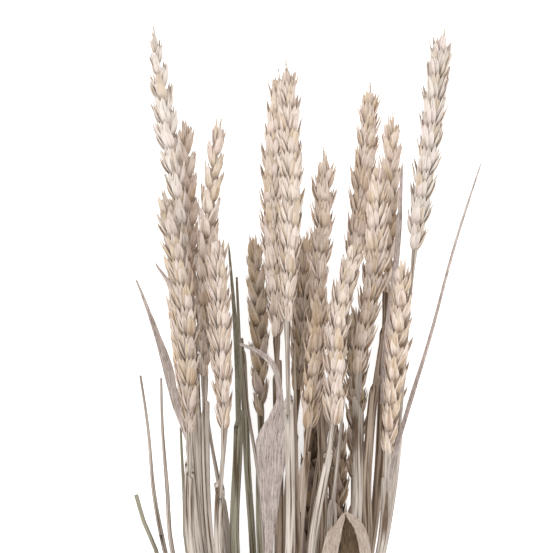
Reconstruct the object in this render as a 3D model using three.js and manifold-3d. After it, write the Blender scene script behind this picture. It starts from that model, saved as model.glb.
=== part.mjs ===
// A cut bunch of dried wheat, lying on a surface and held by a twine tie.
// +X runs across the bunch, +Y along the stalks towards the ears, +Z up from the surface.
// The origin is the middle of the tie's flat underside. All lengths are millimetres.
import * as THREE from 'three';
import { mergeVertices } from 'three/addons/utils/BufferGeometryUtils.js';
import Module from 'manifold-3d';

const wasm = await Module();
wasm.setup();

// Driving dimensions of the bunch
const TIE_PITCH = 3.5;
const TIE_FLOOR = 3.9;
const TIE_BEND = 15;
const CUT_LENGTH = 108;
const CUT_SPREAD = 0.3;
const CUT_FLOOR = 2.1;
const CUT_LAYER_PITCH = 4.3;
const EAR_FLOOR = 5.6;
const EAR_LAYER_PITCH = 13.8;
const FAN_REACH = 330;

// Driving dimensions of a stalk
const STEM_RADIUS_AT_TIE = 1.5;
const STEM_RADIUS_AT_EAR = 1.15;
const STEM_RADIUS_AT_CUT = 1.6;
const SHEATH_RADIUS = 2.4;
const SHEATH_START = 200;
const COLLAR_BELOW_EAR = 18;
const COLLAR_HEIGHT = 2.5;
const BROKEN_TIP_RADIUS = 0.6;
const TIE_EDGE = 6;
const STEM_AROUND = 6;
const FAN_STATIONS = [40, 110];
const MIN_STATION_GAP = 25;
const MAX_STATION_GAP = 90;

// Driving dimensions of an ear
const SPIKELET_PITCH = 11.6;
const EAR_POINT = 9;
const EAR_ROOT = 6;
const SIZE_AT_EAR_BASE = 0.62;
const SIZE_AT_EAR_POINT = 0.5;
const SWELL_FULLNESS = 0.7;

// A spikelet's husk fan, one entry for each ring that rises along it: how high above the
// spikelet's seat, how far across the fan and how far out from the ear's axis each point lies
const FAN = [
  {
    centre: { high: -3.4, across: 0, out: 1.7 },
    valley: { high: -3.4, across: 1, out: 1.4 },
    side: { high: -3.4, across: 1.6, out: 0.8 },
  },
  {
    centre: { high: 4, across: 0, out: 4.5 },
    valley: { high: 3.4, across: 3.3, out: 3.5 },
    side: { high: 3.8, across: 5.4, out: 2 },
  },
  {
    centre: { high: 13, across: 0, out: 5.9 },
    valley: { high: 7.8, across: 2.9, out: 4.3 },
    side: { high: 11.6, across: 6.5, out: 3.4 },
  },
];

// What stands at each of the ten columns round an ear: the husk part, which of the two rows
// it belongs to and which side of the fan it lies on
const COLUMNS = [
  { part: 'centre', row: 1, side: 1 },
  { part: 'valley', row: 1, side: 1 },
  { part: 'side', row: 1, side: 1 },
  { part: 'side', row: -1, side: 1 },
  { part: 'valley', row: -1, side: 1 },
  { part: 'centre', row: -1, side: 1 },
  { part: 'valley', row: -1, side: -1 },
  { part: 'side', row: -1, side: -1 },
  { part: 'side', row: 1, side: -1 },
  { part: 'valley', row: 1, side: -1 },
];
const AROUND = COLUMNS.length;

// Twine
const TWINE_RADIUS = 1;
const TWINE_TURNS = 3;
const TURNS_BEFORE_ORIGIN = 1.5;
const TWINE_PITCH = 2.3;
const TWINE_STEPS_PER_TURN = 16;
const TWINE_SIDES = 6;
const TWINE_HALF_WIDTH = 14;
const TWINE_HALF_HEIGHT = 10.4;
const TWINE_FLATNESS = 7;
const TWINE_PRESS = 0.25;
const KNOT_STEPS = 4;
const KNOT_LIFT = 1.4;
const KNOT_REACH = 3.4;
const KNOT_ARCH = 1.4;
const KNOT_CROSSING = 0.5;
const TAIL_STEPS = 3;
const TAIL_LENGTH = 17;
const TAIL_START = 1;
const TAIL_SPLAY = 8.5;
const TAIL_LIFT = 0.9;
const TAIL_FALL = 0.6;

// Fineness of the shaping: how near two points are one, and the step that gives a path's direction
const WELD_DISTANCE = 1e-4;
const TANGENT_STEP = 0.001;

// Colours of the dried plant and of its tie
const STRAW = { color: 0xbfae9b, roughness: 0.85, metalness: 0 };
const CHALKY = { color: 0xd6c9bd, roughness: 0.9, metalness: 0 };
const SHADED = { color: 0xa3937d, roughness: 0.85, metalness: 0 };
const OLIVE = { color: 0x9a8d74, roughness: 0.85, metalness: 0 };
const JUTE = { color: 0xa8845a, roughness: 0.95, metalness: 0 };

// The stalks that are paler or darker than the rest
const FINISHES = {
  stalk_top_left: CHALKY,
  stalk_far_right: CHALKY,
  stalk_chalky_front: CHALKY,
  stalk_under_left: SHADED,
  stalk_under_middle: SHADED,
  stalk_low_dark: SHADED,
  stalk_under_right: SHADED,
  stalk_dark_left: SHADED,
  stalk_behind_high: SHADED,
  stalk_low_middle: SHADED,
  stalk_low_right: SHADED,
  stem_olive: OLIVE,
  stem_olive_dark: OLIVE,
};

// The stalks, layer by layer from the surface up and from left to right in a layer. The path
// gives [x, y] of a low point, the ear's base, its middle and its tip. Roll turns the two rows
// of spikelets about the stalk, from facing up (0) to facing sideways (90), at the ear's base
// and at its tip. Base and point say how large the spikelets are there. Lift raises a stalk
// above its layer, in full where the ears are. Collar says how far below the ear's base the leaf
// sheath ends, sheath its radius, and tip the radius of a stem's end where there is no ear.
const LAYERS = [
  [
    {
      name: 'strand_left',
      ear: false,
      sheath: 1.2,
      path: [[-57, 228], [-62.3, 256], [-65.3, 289], [-69.2, 316]],
    },
    { name: 'stalk_under_left', roll: [20, 0], path: [[-37, 228], [-46, 299], [-49, 348], [-52, 397]] },
    {
      name: 'stem_olive_dark',
      ear: false,
      collar: -60,
      sheath: 1.8,
      path: [[-12, 228], [-14.7, 268], [-16, 302], [-17.5, 335]],
    },
    { name: 'stalk_under_middle', roll: [10, 0], path: [[4.75, 228], [10.8, 308], [13.5, 350], [15, 388]] },
    { name: 'stalk_low_dark', roll: [75, 60], path: [[11.5, 165], [13.2, 214], [16.5, 255], [21, 296]] },
    { name: 'stalk_under_right', roll: [10, 25], path: [[46, 228], [55, 270], [60, 317], [64, 362]] },
  ],
  [
    {
      name: 'stub_left',
      ear: false,
      tip: 1.1,
      path: [[-53, 195], [-61, 228], [-66.8, 241.5], [-71, 256]],
    },
    {
      name: 'stem_jointed',
      ear: false,
      sheath: 1.2,
      path: [[-52.7, 228], [-55.3, 260], [-57.6, 289], [-58.3, 315]],
    },
    {
      name: 'strand_thin',
      ear: false,
      sheath: 1,
      path: [[-45.3, 228], [-46.7, 255], [-47.9, 277], [-48.5, 290]],
    },
    {
      name: 'stem_left_pale',
      ear: false,
      collar: 5,
      path: [[-24.3, 228], [-29.3, 262], [-33.2, 284], [-36.2, 307]],
    },
    {
      name: 'stalk_dark_left',
      roll: [85, 95],
      path: [[-7.5, 228], [-8, 297], [-8.8, 340], [-11.5, 385]],
    },
    {
      name: 'stalk_behind_high',
      roll: [45, 30],
      sheath: 1.8,
      path: [[17, 228], [36, 354], [44.3, 420], [47.5, 462]],
    },
    {
      name: 'stalk_low_middle',
      roll: [60, 80],
      path: [[27.5, 180], [29.2, 222], [30.8, 257], [31.5, 290]],
    },
  ],
  [
    {
      name: 'stalk_left_behind',
      roll: [70, 85],
      path: [[-35.5, 228], [-42, 340], [-44, 392], [-46, 444]],
    },
    {
      name: 'stem_olive',
      ear: false,
      collar: -10,
      path: [[-20.8, 228], [-19.3, 284], [-18.6, 327], [-20, 366]],
    },
    {
      name: 'stem_pale_middle',
      ear: false,
      sheath: 1.2,
      path: [[-5.8, 228], [-9.3, 268], [-14, 297], [-16.5, 322]],
    },
    { name: 'stalk_tall_slender', roll: [-40, -30], path: [[1.25, 228], [0, 337], [-2, 410], [1, 468]] },
    { name: 'stalk_middle_behind', roll: [35, 50], path: [[22, 228], [21, 354], [23, 390], [24, 426]] },
    { name: 'stalk_low_right', roll: [40, 50], path: [[32, 180], [39.3, 266], [40, 308], [38.5, 350]] },
    { name: 'stalk_right_behind', roll: [75, 90], path: [[46.8, 228], [55, 359], [57, 402], [58, 445]] },
  ],
  [
    {
      name: 'stalk_top_left',
      roll: [45, 75],
      point: 0.3,
      path: [[-38.5, 228], [-46.5, 382], [-54.8, 440], [-61.5, 489]],
    },
    {
      name: 'stalk_left_middle',
      roll: [60, 95],
      path: [[-33, 228], [-36, 317], [-35, 380], [-29, 443]],
    },
    {
      name: 'stalk_middle_low',
      roll: [-40, -45],
      base: 0.9,
      path: [[10.5, 228], [16, 292], [20, 328], [23, 363]],
    },
    {
      name: 'stem_right_low',
      ear: false,
      collar: 5,
      path: [[26.6, 228], [28.4, 255], [31.4, 283], [34, 309]],
    },
    {
      name: 'stalk_right_middle',
      roll: [-35, -20],
      base: 0.8,
      sheath: 2.9,
      path: [[38.5, 228], [41.2, 319], [48.5, 367], [51, 423]],
    },
    {
      name: 'stem_right',
      ear: false,
      collar: -50,
      path: [[44.8, 228], [45, 262], [47.6, 300], [52.6, 338]],
    },
    {
      name: 'stalk_far_right',
      roll: [-40, -15],
      base: 0.85,
      point: 0.8,
      collar: 100,
      path: [[52.4, 228], [69.3, 381.5], [76.7, 434], [83, 488]],
    },
  ],
  [
    {
      name: 'stalk_left_front',
      roll: [30, 45],
      lift: 3,
      path: [[-41.7, 228], [-43.2, 289], [-45.3, 350], [-56.5, 408]],
    },
    {
      name: 'stalk_pink_front',
      roll: [30, 15],
      lift: 1,
      collar: 32,
      path: [[-28.2, 228], [-26, 292], [-28, 340], [-30, 387]],
    },
    {
      name: 'stalk_tall_front',
      roll: [35, 20],
      lift: 7,
      collar: 42,
      path: [[6.5, 228], [5.3, 345], [7.2, 410], [5, 471]],
    },
    {
      name: 'stem_middle',
      ear: false,
      lift: 2,
      sheath: 1.5,
      path: [[10.8, 228], [10, 270], [9.3, 305], [9.2, 335]],
    },
    {
      name: 'stalk_chalky_front',
      roll: [40, 50],
      lift: 4,
      base: 0.95,
      sheath: 2.2,
      path: [[17.5, 228], [28.2, 295], [30.4, 345], [40, 384]],
    },
    { name: 'stalk_right_front', roll: [75, 60], path: [[51.5, 228], [55.3, 279], [59, 325], [63, 373]] },
  ],
];

// The long blades that grow on some of the stalks. Each starts inside its stem at the distance
// given first, or on the blade before it where that one folds over, and then passes the points
// [x, y, z], where it has a width and is turned about its own length
const BLADES = {
  stalk_tall_slender: [[
    { root: 150, width: 2.6, turn: 0 },
    { at: [-4.2, 190, 38], width: 4, turn: 0 },
    { at: [-3.7, 234, 48], width: 4.5, turn: 6 },
    { at: [-3.2, 256, 51.5], width: 10, turn: 10 },
    { at: [-2, 283, 53], width: 16.5, turn: 0 },
    { at: [0.5, 296, 53], width: 9, turn: -12 },
    { at: [1.6, 306, 52.5], width: 2.8, turn: -35 },
    { at: [-0.7, 320, 52], width: 2.6, turn: -60 },
    { at: [-8, 328, 52], width: 2.2, turn: -60 },
    { at: [-19, 333, 52], width: 1.2, turn: -50 },
  ]],
  stalk_chalky_front: [
    [
      { root: 175, width: 2.6, turn: 0 },
      { at: [20.5, 200, 60.5], width: 5, turn: -8 },
      { at: [25.8, 226, 64.5], width: 8, turn: -12 },
      { at: [28, 236.5, 66], width: 8, turn: -8 },
      { at: [31.5, 244, 67], width: 3.6, turn: -4 },
      { at: [34, 249, 67.4], width: 1.2, turn: 0 },
      { at: [37.2, 246.3, 67.2], width: 3.4, turn: 4 },
      { at: [41, 241.5, 66.7], width: 5.2, turn: 8 },
      { at: [43.6, 232, 65.5], width: 6, turn: 12 },
      { at: [46, 210, 62.5], width: 4, turn: 15 },
      { at: [47.5, 193, 60.5], width: 1.4, turn: 15 },
    ],
    [
      { at: [34, 248.8, 67.1], width: 1.2, turn: 0 },
      { at: [35, 241, 63.5], width: 7, turn: 0 },
      { at: [35.8, 229, 61.5], width: 11, turn: 0 },
      { at: [35, 208, 59], width: 4, turn: 0 },
      { at: [34, 194, 57.5], width: 1.4, turn: 0 },
    ],
  ],
  stalk_top_left: [[
    { root: 280, width: 2.2, turn: 0 },
    { at: [-50.5, 304, 48.5], width: 4.5, turn: -12 },
    { at: [-54.5, 321, 49.5], width: 5.5, turn: -20 },
    { at: [-60, 338, 50.3], width: 3.4, turn: -25 },
    { at: [-64.7, 351, 50.5], width: 2.2, turn: -30 },
    { at: [-70.3, 365.5, 50], width: 1, turn: -35 },
  ]],
  stalk_far_right: [[
    { root: 235, width: 2, turn: 0 },
    { at: [57.3, 269.5, 48], width: 2.3, turn: 10 },
    { at: [67, 304.5, 49], width: 2.4, turn: 20 },
    { at: [77, 337, 49.5], width: 2, turn: 30 },
    { at: [89, 382, 50], width: 1.6, turn: 30 },
    { at: [103, 425.5, 49], width: 0.9, turn: 30 },
  ]],
  stalk_under_left: [[
    { root: 250, width: 2, turn: 0 },
    { at: [-43, 325, 13.5], width: 3, turn: 0 },
    { at: [-51, 356, 14.5], width: 3.2, turn: 0 },
    { at: [-61.7, 373.5, 14], width: 1, turn: 0 },
  ]],
  stalk_right_behind: [[
    { root: 295, width: 2.2, turn: 0 },
    { at: [54.4, 329.5, 41], width: 3, turn: 0 },
    { at: [60.5, 379.5, 43.2], width: 3, turn: 10 },
    { at: [63, 423.5, 43], width: 1.2, turn: 10 },
  ]],
  stem_olive: [[
    { root: 285, width: 2.2, turn: 0 },
    { at: [-20, 332, 41], width: 3, turn: 20 },
    { at: [-24, 384, 43], width: 1.2, turn: 40 },
  ]],
};
const BLADE_THICKNESS = 1;
const BLADE_STEPS_PER_POINT = 2;

// Turns a closed geometry into a solid that can be joined and cut
function solid(geometry) {
  geometry.deleteAttribute('normal');
  geometry.deleteAttribute('uv');
  const merged = mergeVertices(geometry, WELD_DISTANCE);
  const mesh = new wasm.Mesh({
    numProp: 3,
    vertProperties: new Float32Array(merged.attributes.position.array),
    triVerts: new Uint32Array(merged.index.array),
  });
  return new wasm.Manifold(mesh);
}

// Turns a solid back into a geometry
function surface(body) {
  const { vertProperties, triVerts } = body.getMesh();
  const geometry = new THREE.BufferGeometry();
  geometry.setAttribute('position', new THREE.BufferAttribute(new Float32Array(vertProperties), 3));
  geometry.setIndex(new THREE.BufferAttribute(new Uint32Array(triVerts), 1));
  geometry.computeVertexNormals();
  return geometry;
}

// Makes a mesh of a geometry
function part(name, geometry, finish) {
  const mesh = new THREE.Mesh(geometry, new THREE.MeshStandardMaterial(finish));
  mesh.name = name;
  return mesh;
}

// How far a stalk has left the tie at a distance along it: flat in the tie, straight beyond
function leaving(distance) {
  return Math.hypot(distance, TIE_BEND) - TIE_BEND;
}

// How far a layer has risen from the tie to the height of the ears, from 0 to 1
function fanned(y) {
  const share = Math.min(1, leaving(y) / leaving(FAN_REACH));
  return share * (2 - share);
}

// Slope of a smooth line at one of its points, from the points beside it
function slopeAt(path, i) {
  const before = path[Math.max(0, i - 1)];
  const after = path[Math.min(path.length - 1, i + 1)];
  return (after[0] - before[0]) / (after[1] - before[1]);
}

// Value of the smooth line through two points with the slopes given there
function smooth(from, to, slopeFrom, slopeTo, y) {
  const span = to[1] - from[1];
  const t = (y - from[1]) / span;
  const rise = to[0] - from[0];
  const bendFrom = slopeFrom * span - rise;
  const bendTo = -slopeTo * span + rise;
  return from[0] + rise * t + t * (1 - t) * (bendFrom * (1 - t) + bendTo * t);
}

// The centre line of a stalk, as a function of the distance along the bunch
function stalkLine(stalk, layer, slot, slots) {
  const tieX = (slot - (slots - 1) / 2) * TIE_PITCH;
  const tieZ = TIE_FLOOR + layer * TIE_PITCH;
  const cutZ = CUT_FLOOR + layer * CUT_LAYER_PITCH;
  const earZ = EAR_FLOOR + layer * EAR_LAYER_PITCH;
  const { path } = stalk;
  const [lowX, lowY] = path[0];
  const lowSlope = ((lowX - tieX) * lowY) / Math.hypot(lowY, TIE_BEND) / leaving(lowY);
  const slopes = path.map((point, i) => (i === 0 ? lowSlope : slopeAt(path, i)));

  function across(y) {
    if (y <= 0) {
      return tieX * (1 + (CUT_SPREAD * leaving(y)) / leaving(CUT_LENGTH));
    }
    if (y <= lowY) {
      return tieX + ((lowX - tieX) * leaving(y)) / leaving(lowY);
    }
    let i = 0;
    while (i < path.length - 2 && y > path[i + 1][1]) {
      i += 1;
    }
    return smooth(path[i], path[i + 1], slopes[i], slopes[i + 1], y);
  }

  function height(y) {
    if (y <= 0) {
      return tieZ + ((cutZ - tieZ) * leaving(y)) / leaving(CUT_LENGTH);
    }
    return tieZ + (earZ - tieZ) * fanned(y) + (stalk.lift ?? 0) * fanned(y) ** 2;
  }

  return (y) => new THREE.Vector3(across(y), y, height(y));
}

// The directions across a stalk at a distance along it, turned by the stalk's roll
function frameAt(line, y, roll) {
  const along = line(y + 1).sub(line(y - 1)).normalize();
  const level = along.clone().cross(new THREE.Vector3(0, 0, 1)).normalize();
  const upward = level.clone().cross(along);
  const turn = THREE.MathUtils.degToRad(roll);
  const broad = level.clone().multiplyScalar(Math.cos(turn)).addScaledVector(upward, Math.sin(turn));
  const rows = level.clone().multiplyScalar(-Math.sin(turn)).addScaledVector(upward, Math.cos(turn));
  return { broad, rows };
}

// Radius of a stem at a distance along the bunch: thick in the leaf sheath that wraps it, and
// slender above the collar where the sheath ends
function stemRadius(y, sheath, collarY, endRadius, endY) {
  const { lerp } = THREE.MathUtils;
  if (y <= 0) {
    return lerp(STEM_RADIUS_AT_TIE, STEM_RADIUS_AT_CUT, y / -CUT_LENGTH);
  }
  if (y <= collarY) {
    return lerp(STEM_RADIUS_AT_TIE, sheath, Math.min(1, y / SHEATH_START));
  }
  return lerp(Math.min(sheath, STEM_RADIUS_AT_EAR), endRadius, (y - collarY) / (endY - collarY));
}

// The rings of a stem, from its cut end up: a round of points at each distance
function stemRings(stations, around, sheath, collarY, endRadius) {
  const endY = stations[stations.length - 1];
  return stations.map((y) => {
    const radius = stemRadius(y, sheath, collarY, endRadius, endY);
    return Array.from({ length: around }, (_, i) => {
      const angle = (i / around) * Math.PI * 2;
      return { y, across: Math.sin(angle) * radius, out: Math.cos(angle) * radius };
    });
  });
}

// How large a spikelet is, by how far up the ear it sits and how large it is at the ear's ends
function spikeletSize(share, ends) {
  const along = Math.min(1, share);
  const fullness = along < 0.5 ? SWELL_FULLNESS : (SWELL_FULLNESS * SIZE_AT_EAR_POINT) / ends.point;
  const swell = Math.sin(Math.PI * along) ** fullness;
  const end = THREE.MathUtils.lerp(ends.base, ends.point, along);
  return THREE.MathUtils.lerp(end, 1, swell);
}

// One ring of points of the husk fans that sit at a level of the ear
function fanRing(ring, seat, pitch, baseY, length, ends) {
  return COLUMNS.map(({ part: husk, row, side }) => {
    const { high, across, out } = FAN[ring][husk];
    const seatHere = seat + (row > 0 ? 0 : pitch / 2);
    const size = spikeletSize(seatHere / length, ends);
    return {
      y: baseY + seatHere + high * size,
      across: across * side * size,
      out: out * row * size,
    };
  });
}

// The rings of a whole ear, from its base up
function earRings(baseY, tipY, ends) {
  const length = tipY - baseY;
  const levels = Math.round((length - EAR_POINT) / SPIKELET_PITCH);
  const pitch = (length - EAR_POINT) / levels;
  const rings = [];
  for (let level = 0; level < levels; level += 1) {
    for (let ring = 0; ring < FAN.length; ring += 1) {
      rings.push(fanRing(ring, level * pitch, pitch, baseY, length, ends));
    }
  }
  rings.push(fanRing(0, levels * pitch, pitch, baseY, length, ends));
  return rings;
}

// Splits the four-sided facets of a skin along their shorter diagonals
function splitFacets(geometry, facets) {
  const { index } = geometry;
  const { position } = geometry.attributes;
  const point = (i) => new THREE.Vector3().fromBufferAttribute(position, i);
  for (let i = 0; i < facets * 6; i += 6) {
    const [a, b, d, c] = [index.getX(i), index.getX(i + 1), index.getX(i + 2), index.getX(i + 4)];
    if (point(a).distanceTo(point(c)) < point(b).distanceTo(point(d))) {
      [a, b, c, a, c, d].forEach((corner, k) => index.setX(i + k, corner));
    }
  }
}

// Wraps rings of points round a centre line as one closed skin
function wrap(rings, line, rollAt, topY) {
  const around = rings[0].length;
  const geometry = new THREE.CylinderGeometry(1, 1, 1, around, rings.length - 1);
  const position = geometry.attributes.position;
  for (let i = 0; i < position.count; i += 1) {
    const ring = rings[Math.round((position.getY(i) + 0.5) * (rings.length - 1))];
    const x = position.getX(i);
    const z = position.getZ(i);
    const turned = (Math.atan2(x, z) / (Math.PI * 2)) * around;
    const middle = x === 0 && z === 0;
    const topEnd = position.getY(i) > 0;
    const column = (Math.round(turned) + around) % around;
    const endY = topEnd ? topY : ring[0].y;
    const point = middle ? { y: endY, across: 0, out: 0 } : ring[column];
    const { broad, rows } = frameAt(line, point.y, rollAt(point.y));
    const place = line(point.y).addScaledVector(broad, point.across).addScaledVector(rows, point.out);
    position.setXYZ(i, place.x, place.y, Math.max(0, place.z));
  }
  splitFacets(geometry, around * (rings.length - 1));
  return geometry;
}

// A blade: a thin keeled strip along a smooth line, as wide and as turned as its points say
function blade(points, line) {
  const curve = new THREE.CatmullRomCurve3(
    points.map(({ at, root }) => (at ? new THREE.Vector3(...at) : line(root))),
    false,
    'catmullrom',
  );
  const steps = (points.length - 1) * BLADE_STEPS_PER_POINT;
  const geometry = new THREE.CylinderGeometry(1, 1, 1, 4, steps);
  const position = geometry.attributes.position;
  for (let i = 0; i < position.count; i += 1) {
    const share = position.getY(i) + 0.5;
    const centre = curve.getPoint(share);
    const along = curve.getTangent(share);
    const scaled = share * (points.length - 1);
    const from = Math.min(points.length - 2, Math.floor(scaled));
    const width = THREE.MathUtils.lerp(points[from].width, points[from + 1].width, scaled - from);
    const degrees = THREE.MathUtils.lerp(points[from].turn, points[from + 1].turn, scaled - from);
    const turn = THREE.MathUtils.degToRad(degrees);
    const level = along.clone().cross(new THREE.Vector3(0, 0, 1)).normalize();
    const upward = level.clone().cross(along);
    const broad = level.clone().multiplyScalar(Math.cos(turn)).addScaledVector(upward, Math.sin(turn));
    const flat = level.clone().multiplyScalar(-Math.sin(turn)).addScaledVector(upward, Math.cos(turn));
    centre.addScaledVector(broad, (position.getX(i) * width) / 2);
    centre.addScaledVector(flat, (position.getZ(i) * BLADE_THICKNESS) / 2);
    position.setXYZ(i, centre.x, centre.y, centre.z);
  }
  return solid(geometry);
}

// The distances at which a stem has a ring of points: its cut end, the tie's edge, the stretch that
// fans out, both edges of the collar, and halfway along what is still long
function stemStations(lowY, collarY, above) {
  const fan = FAN_STATIONS.filter((y) => y < lowY - MIN_STATION_GAP);
  const wanted = [lowY, collarY, collarY + COLLAR_HEIGHT, ...above].sort((a, b) => a - b);
  const stations = [-CUT_LENGTH, TIE_EDGE, ...fan];
  wanted.forEach((y) => {
    const last = stations[stations.length - 1];
    if (y - last > MAX_STATION_GAP) {
      stations.push((last + y) / 2);
    }
    stations.push(y);
  });
  return stations;
}

// One stalk: its stem, its ear where it has one, and the blade that grows on it
function wheatStalk(stalk, layer, slot, slots) {
  const line = stalkLine(stalk, layer, slot, slots);
  const [low, base, middle, tip] = stalk.path;
  const hasEar = stalk.ear !== false;
  const collarY = base[1] - (stalk.collar ?? COLLAR_BELOW_EAR);
  const sheath = stalk.sheath ?? SHEATH_RADIUS;
  const above = hasEar ? [base[1] - EAR_ROOT] : [base[1], middle[1], tip[1]];
  const endRadius = hasEar ? STEM_RADIUS_AT_EAR : (stalk.tip ?? BROKEN_TIP_RADIUS);
  const stations = stemStations(low[1], collarY, above);
  const rings = stemRings(stations, hasEar ? AROUND : STEM_AROUND, sheath, collarY, endRadius);
  if (hasEar) {
    const ends = { base: stalk.base ?? SIZE_AT_EAR_BASE, point: stalk.point ?? SIZE_AT_EAR_POINT };
    rings.push(...earRings(base[1], tip[1], ends));
  }
  const [rollAtBase, rollAtTip] = stalk.roll ?? [0, 0];
  const rollAt = (y) => THREE.MathUtils.lerp(rollAtBase, rollAtTip, (y - base[1]) / (tip[1] - base[1]));
  const skin = solid(wrap(rings, line, rollAt, tip[1]));
  const blades = BLADES[stalk.name] ?? [];
  const body = blades.reduce((sum, points) => sum.add(blade(points, line)), skin);
  return part(stalk.name, surface(body), FINISHES[stalk.name] ?? STRAW);
}

// Point of the twine's path at a turn count, wound round the stems with flat top and bottom
function windingPoint(turns) {
  const angle = turns * Math.PI * 2;
  const c = Math.cos(angle);
  const s = Math.sin(angle);
  const reach = (Math.abs(c) ** TWINE_FLATNESS + Math.abs(s) ** TWINE_FLATNESS) ** (-1 / TWINE_FLATNESS);
  return new THREE.Vector3(
    s * reach * TWINE_HALF_WIDTH,
    (turns - TURNS_BEFORE_ORIGIN) * TWINE_PITCH,
    TWINE_HALF_HEIGHT + TWINE_RADIUS - TWINE_PRESS + c * reach * TWINE_HALF_HEIGHT,
  );
}

// A length of twine along a function of 0 to 1, pressed flat where it meets the surface
function twine(pointAt, steps) {
  const geometry = new THREE.CylinderGeometry(1, 1, 1, TWINE_SIDES, steps);
  const position = geometry.attributes.position;
  const quarterFacet = Math.PI / TWINE_SIDES;
  for (let i = 0; i < position.count; i += 1) {
    const share = position.getY(i) + 0.5;
    const before = pointAt(share - TANGENT_STEP);
    const along = pointAt(share + TANGENT_STEP).sub(before).normalize();
    const outward = new THREE.Vector3(0, 1, 0).cross(along).normalize();
    const sideways = along.clone().cross(outward);
    const radius = Math.hypot(position.getX(i), position.getZ(i)) * TWINE_RADIUS;
    const angle = Math.atan2(position.getX(i), position.getZ(i)) + quarterFacet;
    const place = pointAt(share);
    place.addScaledVector(outward, Math.cos(angle) * radius);
    place.addScaledVector(sideways, Math.sin(angle) * radius);
    position.setXYZ(i, place.x, place.y, Math.max(0, place.z));
  }
  return solid(geometry);
}

// The tie: turns of twine round the stems, with a knot on top and two trimmed ends
function tie() {
  const turns = twine((share) => windingPoint(share * TWINE_TURNS), TWINE_TURNS * TWINE_STEPS_PER_TURN);
  const top = 2 * TWINE_HALF_HEIGHT + TWINE_RADIUS - TWINE_PRESS;
  const half = (TWINE_TURNS * TWINE_PITCH) / 2;
  const middle = half - TURNS_BEFORE_ORIGIN * TWINE_PITCH;
  const bights = [-1, 1].map((side) => twine((share) => {
    const swing = (share - 0.5) * 2;
    return new THREE.Vector3(
      side * KNOT_REACH * (1 - swing * swing),
      middle + swing * (half + TWINE_RADIUS),
      top + KNOT_LIFT * Math.cos(swing * KNOT_ARCH) - side * swing * KNOT_CROSSING,
    );
  }, KNOT_STEPS));
  const tails = [-1, 1].map((side) => twine((share) => new THREE.Vector3(
    side * (TAIL_START + share * TAIL_SPLAY),
    middle - half - share * TAIL_LENGTH,
    top + TAIL_LIFT - share * TAIL_FALL,
  ), TAIL_STEPS));
  const body = [...bights, ...tails].reduce((sum, piece) => sum.add(piece), turns);
  return part('tie', surface(body), JUTE);
}

const group = new THREE.Group();
LAYERS.forEach((stalks, layer) => {
  stalks.forEach((stalk, slot) => {
    group.add(wheatStalk(stalk, layer, slot, stalks.length));
  });
});
group.add(tie());

export default group;
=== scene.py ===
"""A cut bunch of dried wheat, tied with twine and lying on a pale floor, seen from straight above.

The bunch lies along +Y, from its cut ends to its ears, with +Z up. The sizes below are in
millimetres in that frame, and become metres when a mesh is made. A y is always a distance
along the bunch.
"""

import logging
import random
from collections.abc import Callable
from dataclasses import dataclass
from enum import Enum
from math import acos, atan2, cos, exp, hypot, pi, radians, sin, tau

import bpy
from mathutils import Matrix, Vector

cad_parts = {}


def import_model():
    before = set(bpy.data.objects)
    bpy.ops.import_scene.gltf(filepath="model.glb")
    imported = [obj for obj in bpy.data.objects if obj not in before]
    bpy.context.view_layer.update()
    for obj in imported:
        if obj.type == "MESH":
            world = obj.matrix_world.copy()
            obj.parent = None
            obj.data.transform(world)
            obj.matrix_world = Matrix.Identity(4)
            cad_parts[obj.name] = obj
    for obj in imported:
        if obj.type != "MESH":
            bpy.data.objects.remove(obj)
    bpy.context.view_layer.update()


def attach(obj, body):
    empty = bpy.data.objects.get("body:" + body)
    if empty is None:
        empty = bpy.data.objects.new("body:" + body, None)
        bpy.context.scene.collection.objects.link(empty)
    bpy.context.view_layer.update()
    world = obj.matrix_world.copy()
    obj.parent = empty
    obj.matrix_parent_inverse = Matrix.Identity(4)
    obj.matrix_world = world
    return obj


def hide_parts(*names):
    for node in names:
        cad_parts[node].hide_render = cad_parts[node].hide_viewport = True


LOG = logging.getLogger("wheat")
MM = 0.001
FLOOR_GAP = 0.05
SEED = 7
MARK = "mark"

Piece = bpy.types.Object
Material = bpy.types.Material
Socket = bpy.types.NodeSocket
Inputs = dict[str | int, object]
Pair = tuple[float, float]
Triple = tuple[float, float, float]
Placed = tuple[Vector, Triple]
Rgb = tuple[int, int, int]

UP = Vector((0, 0, 1))


# Colours


def linear(colour: Rgb) -> tuple[float, ...]:
    """Turns a display colour of 0 to 255 into a linear one for a shader."""

    def one(value: int) -> float:
        share = value / 255
        return share / 12.92 if share <= 0.04045 else ((share + 0.055) / 1.055) ** 2.4

    return (*map(one, colour), 1.0)


@dataclass(frozen=True)
class Colours:
    """The pale and the deep colour that a finish runs between, and how it is dusted.

    Bloom is the strength of its chalky patches. The speck colour is that of its dark specks, and also
    of the painted shade in husk creases and at husk feet. The last number is how much painted shade
    deepens an ear in its lower part, where the bunch shades it.
    """

    pale: Rgb
    deep: Rgb
    bloom: float = 0.3
    # Dark specks, and painted shade in husk creases and at husk feet.
    speck_and_shade: Rgb = (88, 66, 46)
    # Painted shade in an ear's lower part.
    fade: float = 0.4


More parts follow.
